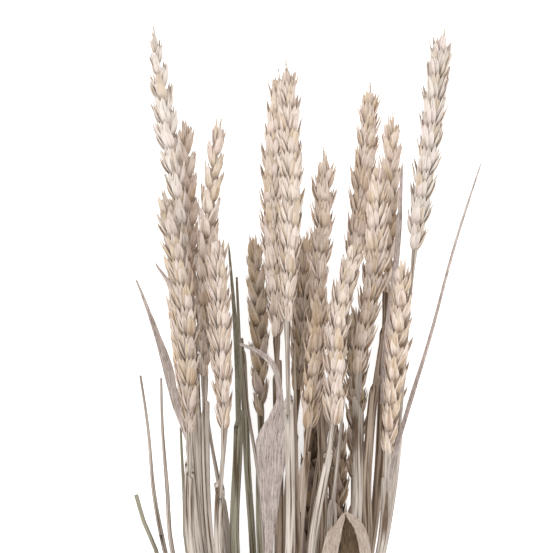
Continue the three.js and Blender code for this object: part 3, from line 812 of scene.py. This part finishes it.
class Ear:
    """An ear: two rows of husk fans on the stalk's line, and one more fan at its point."""

    def __init__(self, stalk: Stalk, line: StalkLine, size: EarSize, forms: tuple[Form, Form]) -> None:
        """Takes the stalk that carries the ear, its line, the sizes, and the husk and the awn."""
        self.stalk = stalk
        self.line = line
        self.size = size
        self.husk_form, self.awn_form = forms
        self.rng = random.Random(f"{SEED} ear {stalk.name}")
        self.start = stalk.path[1][1]
        self.length = stalk.path[3][1] - self.start
        self.points: list[Vector] = []
        self.faces: list[tuple[int, ...]] = []
        self.marks: list[float] = []

    def spikelet_size(self, seat: float) -> float:
        """How large a spikelet is, by how far up the ear it sits."""
        share = min(1.0, max(0.0, seat / self.length))
        fullness = self.size.swell_fullness
        if share > 0.5:
            fullness *= self.size.usual_point / self.stalk.point
        end = lerp(self.stalk.base, self.stalk.point, share)
        return lerp(end, 1.0, sin(pi * share) ** fullness)

    def add(self, form: Form, place: Callable[[Vector], Vector]) -> None:
        """Copies a form into the ear, through a function that places its points."""
        tone = self.rng.random()
        first = len(self.points)
        for point, mark in zip(form.points, form.marks):
            self.points.append(above_floor(place(point)) * MM)
            self.marks.extend((mark[0], mark[1], tone))
        self.faces.extend(tuple(first + i for i in face) for face in form.faces)

    def husk(self, seat: HuskSeat, side: int, matrix: Matrix, size: float) -> tuple[Vector, Vector]:
        """Adds one husk on a side of the fan, 1 or -1, and returns its tip and its direction.

        The matrix takes [across, up, out] of the spikelet to the bunch, and size is how large the
        spikelet is.
        """
        rng, sizes = self.rng, self.size
        tall = size**sizes.slimness
        ends = (seat.foot, seat.tip)
        foot, tip = (Vector((across * side * size, up * tall, out * size)) for up, across, out in ends)
        tip += Vector([rng.uniform(-sizes.jitter, sizes.jitter) for _ in range(3)])
        reach = tip - foot
        length = reach.length
        up = reach / length
        play = rng.uniform(-sizes.keel_play, sizes.keel_play)
        keel = Vector((seat.keel[0] * side + play, 0, seat.keel[1]))
        out = (keel - up * keel.dot(up)).normalized()
        over = up.cross(out)
        half = seat.width / 2 * size * rng.uniform(*sizes.width_play)
        point_length = rng.uniform(*seat.point)

        def place(point: Vector) -> Vector:
            reached = point.y * length + (point_length if point.y > 0.99 else 0.0)
            return matrix @ (foot + over * (point.x * half) + up * reached + out * (point.z * half))

        self.add(self.husk_form, place)
        return matrix @ tip, matrix.to_3x3() @ up

    def awn(self, root: Vector, way: Vector, length: float) -> None:
        """Adds one awn that grows on a husk's tip."""
        start = root - way * self.size.awn_root
        over = way.cross(UP).normalized() * self.rng.choice((-1, 1))
        out = over.cross(way)
        self.add(self.awn_form, lambda p: start + over * p.x + way * (p.y * length) + out * p.z)

    def spikelet(self, seat: float, turn: float, last: bool = False) -> None:
        """Adds one fan of husks, a seat up the ear and a turn in radians from the upper row.

        The last one stands at the ear's point, slimmer and with the awns.
        """
        rng, sizes = self.rng, self.size
        y = self.start + seat
        lean = (sizes.last_lean if last else 0.0) + rng.uniform(0, sizes.opening)
        matrix = Matrix(self.line.directions(y)).transposed().to_4x4()
        matrix.translation = self.line.at(y)
        matrix = matrix @ Matrix.Rotation(turn + rng.uniform(-sizes.turn_play, sizes.turn_play), 4, "Y")
        matrix = matrix @ Matrix.Rotation(lean, 4, "X")
        matrix = matrix @ Matrix.Rotation(rng.uniform(-sizes.sway, sizes.sway), 4, "Z")
        size = self.spikelet_size(seat) * rng.uniform(*sizes.size_play) * (sizes.last_size if last else 1.0)
        for kind in sizes.seats:
            if last and not kind.at_point:
                continue
            for side in (1, -1) if kind.tip[1] else (1,):
                tip, direction = self.husk(kind, side, matrix, size)
                if last and kind.awned and self.stalk.awn:
                    share = rng.uniform(*sizes.side_awn) if kind.tip[1] else 1.0
                    self.awn(tip, direction, self.stalk.awn * share)

    def build(self) -> Piece:
        """Models the whole ear as one piece."""
        levels = round((self.length - self.size.point) / self.size.pitch)
        pitch = (self.length - self.size.point) / levels
        for level in range(levels):
            self.spikelet(level * pitch, 0.0)
            self.spikelet((level + 0.5) * pitch, pi)
        self.spikelet(levels * pitch - self.size.last_sunk, pi / 2, last=True)
        mesh = bpy.data.meshes.new(f"{self.stalk.name}_ear")
        mesh.from_pydata(self.points, [], self.faces)
        set_marks(mesh, self.marks)
        mesh.shade_smooth()
        mesh.set_sharp_from_angle(angle=self.size.crisp_angle)
        return linked(mesh.name, mesh)


# Blades


@dataclass(frozen=True)
class BladePoint:
    """A point that a leaf blade passes, with its width and its turn there."""

    x: float
    y: float
    z: float
    width: float
    turn: float = 0.0


@dataclass(frozen=True)
class BladeSpec:
    """A leaf blade: where on its stem it starts, and what it passes, as numbers of a BladePoint.

    A root of 0 means that it starts at its first point.
    """

    root: float
    root_width: float
    points: tuple[tuple[float, ...], ...]
    tone: Tone = Tone.LEAF


BLADES: dict[str, tuple[BladeSpec, ...]] = {
    "stalk_tall_slender": (BladeSpec(150, 2.6, (
        (-4.2, 190, 38, 4), (-3.7, 234, 48, 4.5, 6), (-3.2, 256, 51.5, 10, 10), (-2, 283, 53, 16.5),
        (0.5, 296, 53, 9, -12), (1.6, 306, 52.5, 3.6, -25), (-0.7, 320, 52, 3.4, -30),
        (-8, 328, 52, 2.8, -30), (-19, 333, 52, 1.5, -30),
    )),),
    "stalk_chalky_front": (
        BladeSpec(175, 2.6, (
            (20.5, 200, 60.5, 5, -8), (25.8, 226, 64.5, 8, -12), (28, 236.5, 66, 8, -8),
            (31.5, 244, 67, 3.6, -4), (34, 249, 67.4, 1.2), (37.2, 246.3, 67.2, 3.4, 4),
            (41, 241.5, 66.7, 5.2, 8), (43.6, 232, 65.5, 6, 12), (46, 210, 62.5, 4, 15),
            (47.5, 193, 60.5, 1.4, 15),
        ), Tone.DUSTY),
        # A dark sheet inside the folded blade: painted shade in the fold.
        BladeSpec(0, 0, (
            (34, 248.8, 67.1, 1.2), (35, 241, 63.5, 7), (35.8, 229, 61.5, 11), (35, 208, 59, 4),
            (34, 194, 57.5, 1.4),
        ), Tone.DARK),
    ),
    "stalk_top_left": (BladeSpec(280, 2.2, (
        (-50.5, 304, 48.5, 4.5, -12), (-54.5, 321, 49.5, 5.5, -20), (-60, 338, 50.3, 3.4, -25),
        (-64.7, 351, 50.5, 2.2, -30), (-70.3, 365.5, 50, 1, -35),
    )),),
    "stalk_far_right": (BladeSpec(235, 2, (
        (57.3, 269.5, 48, 2.3, 10), (67, 304.5, 49, 2.4, 20), (77, 337, 49.5, 2, 30),
        (89, 382, 50, 1.6, 30), (103, 425.5, 49, 0.9, 30),
    )),),
    "stalk_under_left": (BladeSpec(250, 2, (
        (-43, 325, 13.5, 3), (-51, 356, 14.5, 3.2), (-61.7, 373.5, 14, 1),
    )),),
    "stalk_right_behind": (BladeSpec(295, 2.2, (
        (54.4, 329.5, 41, 3), (60.5, 379.5, 43.2, 3, 10), (63, 423.5, 43, 1.2, 10),
    )),),
    "stem_olive": (BladeSpec(285, 2.2, (
        (-20, 332, 41, 3, 20), (-24, 384, 43, 1.2, 40),
    ), Tone.OLIVE),),
}


class Blade:
    """A long dry leaf blade that grows on a stem."""

    AROUND = 16
    STEPS = 9
    THICKNESS = 0.8
    KEEL = 0.06
    WAVE = 0.03
    WAVES = 40
    ROUNDING = 0.6

    def __init__(self, stalk: Stalk, line: StalkLine, spec: BladeSpec) -> None:
        """Takes the stalk that it grows on, its line, and where it runs."""
        # A blade with no root is the dark sheet of painted shade inside a fold.
        self.name = f"{stalk.name}_{'blade' if spec.root else 'fold'}"
        self.points = [BladePoint(*numbers) for numbers in spec.points]
        if spec.root:
            self.points.insert(0, BladePoint(*line.at(spec.root), spec.root_width))
        self.places = [Vector((point.x, point.y, point.z)) for point in self.points]

    def curve(self, share: float) -> tuple[Vector, Vector, float, float]:
        """Point, direction, width and turn of the blade at a share of its length."""
        last = len(self.places) - 1
        scaled = share * last
        i = min(last - 1, int(scaled))
        t = scaled - i
        p1, p2 = self.places[i], self.places[i + 1]
        p0 = self.places[i - 1] if i > 0 else p1 * 2 - p2
        p3 = self.places[i + 2] if i + 2 <= last else p2 * 2 - p1
        a, b = (p2 - p0) / 2, (p3 - p1) / 2
        c, d = (p2 - p1) * 3 - a * 2 - b, (p1 - p2) * 2 + a + b
        point = p1 + a * t + c * t**2 + d * t**3
        way = (a + c * 2 * t + d * 3 * t**2).normalized()
        eased = t * t * (3 - 2 * t)
        before, after = self.points[i], self.points[i + 1]
        width = lerp(before.width, after.width, lerp(t, eased, self.ROUNDING))
        return point, way, width, radians(lerp(before.turn, after.turn, t))

    def build(self) -> Piece:
        """Models the blade as one thin closed skin."""
        rings = (len(self.points) - 1) * self.STEPS

        def place(ring: int, angle: float) -> Placed:
            share = ring / rings
            point, way, width, turn = self.curve(share)
            broad, flat = sides(way, turn)
            closing = 0.0 if ring in (0, rings) else 1.0
            side = cos(angle) * closing
            keel = self.KEEL * width * abs(side) + self.WAVE * width * sin(share * self.WAVES) * side
            point = point + broad * (side * width / 2)
            point += flat * (sin(angle) * self.THICKNESS / 2 * closing + keel)
            return above_floor(point), (side * width / 8, share * rings / 30, 0.0)

        return skin(self.name, self.AROUND, rings, place)


# The tie


@dataclass(frozen=True)
class TwineSize:
    """Driving sizes of the tie."""

    radius: float = 1.0
    turns: float = 3.0
    turns_before_origin: float = 1.5
    pitch: float = 2.3
    half_width: float = 14.0
    half_height: float = 10.4
    flatness: float = 7.0
    press: float = 0.25
    knot_lift: float = 1.4
    knot_reach: float = 3.4
    knot_arch: float = 1.4
    knot_crossing: float = 0.5
    bight_length: float = 14.0
    tail_run: float = 20.0
    tail_length: float = 17.0
    tail_start: float = 1.0
    tail_splay: float = 8.5
    tail_lift: float = 0.9
    tail_fall: float = 0.6
    rounding: float = 0.95
    plies: int = 3
    ply_sides: int = 6
    ply_offset: float = 0.5
    ply_radius: float = 0.56
    twist: float = 6.0
    steps_per_twist: int = 8


@dataclass(frozen=True)
class Tie:
    """Twine wound round the stems, with a knot on top and two short ends."""

    STEP = 0.001

    size: TwineSize = TwineSize()

    def winding(self, share: float) -> Vector:
        """Path of the turns round the stems."""
        s = self.size
        turns = share * s.turns
        c, n = cos(turns * tau), sin(turns * tau)
        reach = (abs(c) ** s.flatness + abs(n) ** s.flatness) ** (-1 / s.flatness)
        height = s.half_height + s.radius - s.press + c * reach * s.half_height
        return Vector((n * reach * s.half_width, (turns - s.turns_before_origin) * s.pitch, height))

    def bight(self, share: float, side: int) -> Vector:
        """Path of one loop of the knot."""
        s = self.size
        swing = (share - 0.5) * 2
        half = s.turns * s.pitch / 2
        return Vector((
            side * s.knot_reach * (1 - swing * swing),
            half - s.turns_before_origin * s.pitch + swing * (half + s.radius),
            self.top() + s.knot_lift * cos(swing * s.knot_arch) - side * swing * s.knot_crossing,
        ))

    def tail(self, share: float, side: int) -> Vector:
        """Path of one short end."""
        s = self.size
        y = -s.turns_before_origin * s.pitch - share * s.tail_length
        height = self.top() + s.tail_lift - share * s.tail_fall
        return Vector((side * (s.tail_start + share * s.tail_splay), y, height))

    def top(self) -> float:
        """Height of the turns' upper side."""
        return 2 * self.size.half_height + self.size.radius - self.size.press

    def strands(self, name: str, path: Callable[[float], Vector], length: float) -> list[Piece]:
        """Lays twisted strands along a path."""
        s = self.size
        twists = max(1.0, length / s.twist)
        rings = max(6, round(twists * s.steps_per_twist))

        def ply(number: int) -> Callable[[int, float], Placed]:
            def place(ring: int, angle: float) -> Placed:
                share = ring / rings
                way = (path(share + self.STEP) - path(share - self.STEP)).normalized()
                outward = Vector((0, 1, 0)).cross(way).normalized()
                sideways = way.cross(outward)
                phase = (share * twists + number / s.plies) * tau
                radius = 0.0 if ring in (0, rings) else s.ply_radius
                point = path(share)
                for turn, reach in ((phase, s.ply_offset), (angle, radius)):
                    point += (outward * cos(turn) + sideways * sin(turn)) * reach
                return above_floor(point), (angle / pi + number, share * length / 100, 0.0)

            return place

        return [skin(f"{name}_{number}", s.ply_sides, rings, ply(number)) for number in range(s.plies)]

    def build(self) -> Piece:
        """Models the whole tie as one piece."""
        s = self.size
        around = (s.half_width + s.half_height) * 4 * s.rounding
        parts = self.strands("turns", self.winding, around * s.turns)
        for side in (-1, 1):
            parts += self.strands("bight", lambda share, side=side: self.bight(share, side), s.bight_length)
            parts += self.strands("tail", lambda share, side=side: self.tail(share, side), s.tail_run)
        return joined("tie_twine", parts)


# The whole bunch


class Bunch:
    """The bunch: all stalks with their ears and blades, and the tie."""

    SHADED_LAYERS = 2

    def __init__(self) -> None:
        """Prepares the finishes, the one husk and the one awn."""
        self.finishes = Finishes()
        self.forms = (HuskForm(), AwnForm())

    def keep(self, piece: Piece, node: str, material: Material) -> None:
        """Gives a piece its material and its place in the frame, and reports it."""
        piece.data.materials.clear()
        piece.data.materials.append(material)
        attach(piece, "root")
        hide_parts(node)
        LOG.info("%s: %d faces, stands for %s", piece.name, len(piece.data.polygons), node)

    def grow(self, stalk: Stalk, line: StalkLine) -> None:
        """Builds one stalk with all that grows on it."""
        stem = Stem(stalk, line, StemSize()).build()
        self.keep(stem, stalk.name, self.finishes.get("straw", stalk.straw))
        if stalk.ear:
            ear = Ear(stalk, line, EarSize(), self.forms).build()
            self.keep(ear, stalk.name, self.finishes.get("husk", stalk.ear))
        for spec in BLADES.get(stalk.name, ()):
            blade = Blade(stalk, line, spec).build()
            self.keep(blade, stalk.name, self.finishes.get("leaf", spec.tone))

    def build(self) -> None:
        """Builds every stalk, layer by layer, and then the tie."""
        for layer, stalks in enumerate(LAYERS):
            for slot, stalk in enumerate(stalks):
                self.grow(stalk, StalkLine(stalk, layer, slot, len(stalks)))
        self.keep(Tie().build(), "tie", self.finishes.get("twine", Tone.TWINE))


# The studio


@dataclass(frozen=True)
class Studio:
    """A pale floor, soft light and the camera that looks straight down."""

    centre: Pair = (0.0, 366.25)
    field_of_view: float = 276.5
    plane: float = 45.0
    distance: float = 2400.0
    sensor: float = 36.0
    aim: Triple = (0.0, 0.25, 0.0)
    floor_grey: float = 0.92
    floor_roughness: float = 0.9
    floor_glow: float = 0.55
    sky: float = 0.95

    def floor(self) -> Piece:
        """A plain pale floor."""
        bpy.ops.object.select_all(action="DESELECT")
        bpy.ops.mesh.primitive_plane_add(size=8.0, location=(0, 0, -0.0004))
        floor = bpy.context.object
        floor.name = "floor"
        s = Shader("floor")
        s.feed(s.surface, {
            "Base Color": (*[self.floor_grey] * 3, 1.0),
            "Roughness": self.floor_roughness,
            "Emission Color": (1.0, 1.0, 1.0, 1.0),
            "Emission Strength": self.floor_glow,
        })
        floor.data.materials.append(s.material)
        return floor

    def lamp(self, name: str, at: Triple, size: float, power: float) -> None:
        """A soft square light that faces the bunch."""
        data = bpy.data.lights.new(name, "AREA")
        data.size = size
        data.energy = power
        lamp = linked(name, data)
        lamp.location = Vector(at)
        lamp.rotation_euler = (Vector(self.aim) - lamp.location).to_track_quat("-Z", "Y").to_euler()

    def lights(self) -> None:
        """Even light from all round, and a broad soft one from the upper left."""
        world = bpy.data.worlds.new("studio")
        world.use_nodes = True
        sky = world.node_tree.nodes["Background"].inputs
        sky["Color"].default_value = (1, 1, 1, 1)
        sky["Strength"].default_value = self.sky
        bpy.context.scene.world = world
        self.lamp("key", (-1.2, 1.3, 2.0), 1.8, 28)
        self.lamp("fill", (1.6, -0.6, 1.8), 2.0, 13)
        bpy.context.scene.view_settings.view_transform = "Standard"

    def camera(self) -> None:
        """A long lens straight above the ears, with the stalks upright in the picture."""
        data = bpy.data.cameras.new("camera")
        data.sensor_width = self.sensor
        data.lens = self.sensor * (self.distance - self.plane) / self.field_of_view
        data.clip_end = 20
        camera = linked("camera", data)
        camera.location = Vector((*self.centre, self.distance)) * MM
        bpy.context.scene.camera = camera

    def build(self) -> None:
        """Sets up the whole studio."""
        self.floor()
        self.lights()
        self.camera()


def main() -> None:
    """Builds the bunch in its studio."""
    logging.basicConfig(level=logging.INFO, format="%(message)s")
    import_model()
    Bunch().build()
    Studio().build()


if __name__ == "__main__":
    main()
